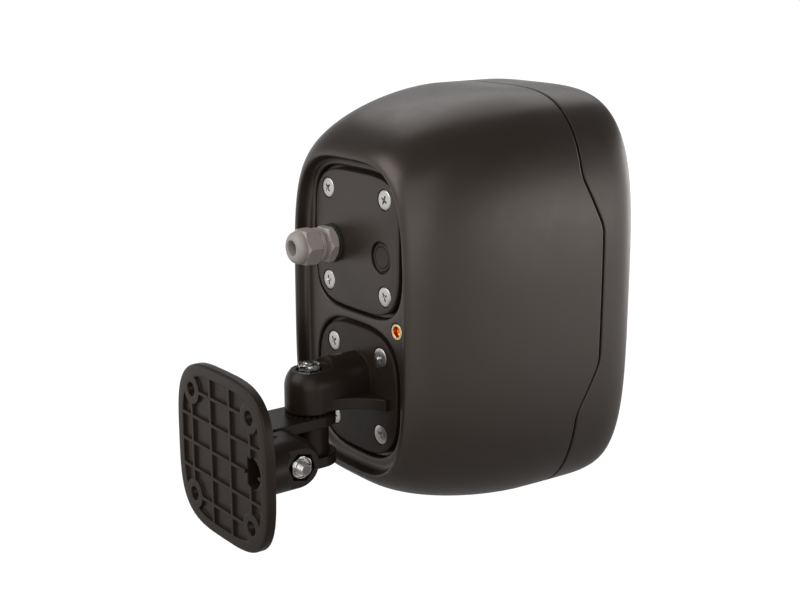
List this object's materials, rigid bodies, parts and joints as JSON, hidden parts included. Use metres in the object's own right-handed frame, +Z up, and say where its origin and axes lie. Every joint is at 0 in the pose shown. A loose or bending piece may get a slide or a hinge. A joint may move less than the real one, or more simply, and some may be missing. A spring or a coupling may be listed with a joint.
{
  "type": "wall_speaker",
  "caption": "Weatherproof two-way wall speaker in a tapered moulded cabinet, on a toothed bracket that tilts and pans",
  "frame": {"origin": "centre of the wall holes, on the back face of the wall plate", "axes": "+Z up the wall, +Y into the wall, the speaker faces -Y away from the room, +X to the right of someone who looks at the wall"},
  "size_m": [0.1376, 0.1986, 0.205],
  "materials": {
    "bracket_plastic": "glass-filled nylon, fine matt texture",
    "cabinet_plastic": "warm anthracite moulding, fine matt texture",
    "cover_plastic": "warm anthracite moulding, fine matt texture",
    "zinc_steel": "bright zinc plate",
    "black_steel": "dark plated steel",
    "grille_steel": "perforated sheet, powder coated",
    "black_cloth": "acoustic cloth",
    "black_rubber": "moulded rubber",
    "gland_nylon": "grey nylon, lightly moulded",
    "brass": "turned brass",
    "terminal_plastic": "moulded terminal housing",
    "board_laminate": "glass-epoxy board",
    "copper_wire": "enamelled copper winding",
    "film_sleeve": "sleeved film capacitor",
    "white_ceramic": "cement-filled ceramic",
    "basket_paint": "pressed steel, black paint",
    "bare_steel": "bright mild steel",
    "ferrite": "sintered ferrite",
    "cone_paper": "black coated paper",
    "spider_cloth": "impregnated cotton",
    "wadding": "polyester wadding"
  },
  "bodies": {
    "wall_mount": {"wall_plate": "bracket_plastic", "tilt_bolt": "zinc_steel", "tilt_nut": "zinc_steel"},
    "link": {"link_arm": "bracket_plastic", "pan_bolt": "zinc_steel", "pan_nut": "zinc_steel"},
    "speaker": {"speaker_plate": "bracket_plastic", "plate_screws": "zinc_steel", "rear_cabinet": "cabinet_plastic", "cabinet_seal": "black_rubber", "front_baffle": "cabinet_plastic", "cabinet_screws": "black_steel", "grille": "grille_steel", "grille_cloth": "black_cloth", "rear_cover": "cover_plastic", "cover_gasket": "black_rubber", "cover_screws": "zinc_steel", "gland_washer": "black_rubber", "gland_body": "gland_nylon", "gland_cap": "gland_nylon", "gland_seal": "black_rubber", "gland_locknut": "gland_nylon", "blanking_plug": "cover_plastic", "safety_insert": "brass", "terminal_block": "terminal_plastic", "terminal_screws": "zinc_steel", "crossover_board": "board_laminate", "crossover_choke": "copper_wire", "crossover_capacitor": "film_sleeve", "crossover_resistor": "white_ceramic", "woofer_basket": "basket_paint", "woofer_top_plate": "bare_steel", "woofer_magnet": "ferrite", "woofer_yoke": "bare_steel", "woofer_surround": "black_rubber", "woofer_spider": "spider_cloth", "woofer_screws": "black_steel", "tweeter_plate": "cover_plastic", "tweeter_dome": "black_cloth", "tweeter_magnet": "bare_steel", "tweeter_screws": "black_steel", "damping_pad": "wadding"},
    "cone": {"woofer_cone": "cone_paper"}
  },
  "joints": [
    {"name": "tilt", "type": "hinge", "parent": "wall_mount", "child": "link", "pos_m": [0, -0.023, 0], "axis": [1, 0, 0], "range_deg": [-15, 45]},
    {"name": "pan", "type": "hinge", "parent": "link", "child": "speaker", "pos_m": [0, -0.0493, 0], "axis": [0, 0, 1], "range_deg": [-45, 45]},
    {"name": "cone_travel", "type": "slide", "parent": "speaker", "child": "cone", "axis": [0, -1, 0], "range_m": [-0.003, 0.003], "stiffness_N_per_m": 1500, "deforming": ["woofer_surround", "woofer_spider"]}
  ]
}
